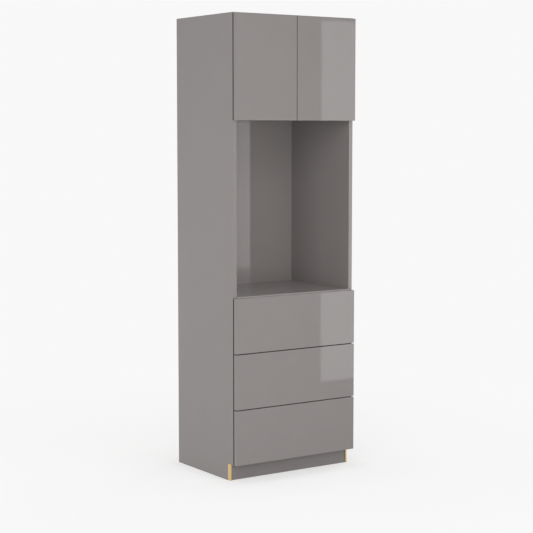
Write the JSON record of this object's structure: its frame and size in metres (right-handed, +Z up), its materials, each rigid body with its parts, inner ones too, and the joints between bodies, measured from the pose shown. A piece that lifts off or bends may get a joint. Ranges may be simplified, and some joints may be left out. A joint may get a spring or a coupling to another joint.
{
  "type": "tall kitchen housing cabinet",
  "caption": "Tall kitchen housing cabinet: push-open doors above an open appliance niche above handle-less gloss drawers, on a recessed plinth with gold end trims.",
  "frame": {"origin": "middle of the footprint, fronts included, on the floor", "axes": "+Z up, the fronts face -Y, +X to the right seen from the front"},
  "size_m": [0.6, 0.4564, 1.895],
  "materials": {
    "gloss_front": "high-gloss taupe lacquer on fibreboard",
    "carcass_board": "taupe faced particle board with matching edging",
    "hardboard": "thin faced hardboard",
    "drawer_board": "light grey faced particle board",
    "gold_trim": "satin gold metal",
    "zinc_steel": "zinc plated steel",
    "grey_steel": "grey powder coat",
    "nickel": "nickel plated",
    "latch_plastic": "moulded grey plastic",
    "plunger_plastic": "moulded light plastic"
  },
  "bodies": {
    "carcass": {"left_side_panel": "carcass_board", "right_side_panel": "carcass_board", "top_panel": "carcass_board", "niche_ceiling_panel": "carcass_board", "niche_floor_panel": "carcass_board", "bottom_panel": "carcass_board", "cupboard_back_panel": "hardboard", "niche_back_panel": "carcass_board", "drawer_bay_back_panel": "hardboard", "plinth_board": "carcass_board", "left_plinth_trim": "gold_trim", "right_plinth_trim": "gold_trim", "cupboard_shelf": "carcass_board", "front_left_shelf_pin": "zinc_steel", "rear_left_shelf_pin": "zinc_steel", "front_right_shelf_pin": "zinc_steel", "rear_right_shelf_pin": "zinc_steel", "left_upper_hinge_arm": "nickel", "left_lower_hinge_arm": "nickel", "right_upper_hinge_arm": "nickel", "right_lower_hinge_arm": "nickel", "left_latch_body": "latch_plastic", "right_latch_body": "latch_plastic", "left_wall_bracket": "zinc_steel", "right_wall_bracket": "zinc_steel", "bottom_drawer_left_cabinet_rail": "zinc_steel", "bottom_drawer_right_cabinet_rail": "zinc_steel", "centre_drawer_left_cabinet_rail": "zinc_steel", "centre_drawer_right_cabinet_rail": "zinc_steel", "top_drawer_left_cabinet_rail": "zinc_steel", "top_drawer_right_cabinet_rail": "zinc_steel"},
    "left_door": {"left_door_panel": "gloss_front", "left_upper_hinge_cup": "nickel", "left_lower_hinge_cup": "nickel"},
    "left_latch_plunger": {"left_latch_plunger": "plunger_plastic"},
    "right_door": {"right_door_panel": "gloss_front", "right_upper_hinge_cup": "nickel", "right_lower_hinge_cup": "nickel"},
    "right_latch_plunger": {"right_latch_plunger": "plunger_plastic"},
    "bottom_drawer": {"bottom_drawer_front": "gloss_front", "bottom_drawer_left_side": "grey_steel", "bottom_drawer_right_side": "grey_steel", "bottom_drawer_floor_board": "drawer_board", "bottom_drawer_back_board": "drawer_board"},
    "bottom_drawer_runner_carriage": {"bottom_drawer_left_middle_rail": "zinc_steel", "bottom_drawer_right_middle_rail": "zinc_steel"},
    "centre_drawer": {"centre_drawer_front": "gloss_front", "centre_drawer_left_side": "grey_steel", "centre_drawer_right_side": "grey_steel", "centre_drawer_floor_board": "drawer_board", "centre_drawer_back_board": "drawer_board"},
    "centre_drawer_runner_carriage": {"centre_drawer_left_middle_rail": "zinc_steel", "centre_drawer_right_middle_rail": "zinc_steel"},
    "top_drawer": {"top_drawer_front": "gloss_front", "top_drawer_left_side": "grey_steel", "top_drawer_right_side": "grey_steel", "top_drawer_floor_board": "drawer_board", "top_drawer_back_board": "drawer_board"},
    "top_drawer_runner_carriage": {"top_drawer_left_middle_rail": "zinc_steel", "top_drawer_right_middle_rail": "zinc_steel"}
  },
  "joints": [
    {"name": "left_door_hinge", "type": "hinge", "parent": "carcass", "child": "left_door", "pos_m": [-0.298, -0.22825, 1.68], "axis": [0, 0, -1], "range_deg": [0, 105]},
    {"name": "left_latch_push", "type": "slide", "parent": "carcass", "child": "left_latch_plunger", "axis": [0, 1, 0], "range_m": [0, 0.002], "stiffness_N_per_m": 600},
    {"name": "right_door_hinge", "type": "hinge", "parent": "carcass", "child": "right_door", "pos_m": [0.298, -0.22825, 1.68], "axis": [0, 0, 1], "range_deg": [0, 105]},
    {"name": "right_latch_push", "type": "slide", "parent": "carcass", "child": "right_latch_plunger", "axis": [0, 1, 0], "range_m": [0, 0.002], "stiffness_N_per_m": 600},
    {"name": "bottom_drawer_slide", "type": "slide", "parent": "carcass", "child": "bottom_drawer", "axis": [0, -1, 0], "range_m": [0, 0.35]},
    {"name": "bottom_drawer_carriage_slide", "type": "slide", "parent": "carcass", "child": "bottom_drawer_runner_carriage", "axis": [0, -1, 0], "range_m": [0, 0.175]},
    {"name": "centre_drawer_slide", "type": "slide", "parent": "carcass", "child": "centre_drawer", "axis": [0, -1, 0], "range_m": [0, 0.35]},
    {"name": "centre_drawer_carriage_slide", "type": "slide", "parent": "carcass", "child": "centre_drawer_runner_carriage", "axis": [0, -1, 0], "range_m": [0, 0.175]},
    {"name": "top_drawer_slide", "type": "slide", "parent": "carcass", "child": "top_drawer", "axis": [0, -1, 0], "range_m": [0, 0.35]},
    {"name": "top_drawer_carriage_slide", "type": "slide", "parent": "carcass", "child": "top_drawer_runner_carriage", "axis": [0, -1, 0], "range_m": [0, 0.175]}
  ],
  "couplings": [
    {"joint": "bottom_drawer_carriage_slide", "follows": "bottom_drawer_slide", "ratio": 0.5},
    {"joint": "centre_drawer_carriage_slide", "follows": "centre_drawer_slide", "ratio": 0.5},
    {"joint": "top_drawer_carriage_slide", "follows": "top_drawer_slide", "ratio": 0.5}
  ]
}
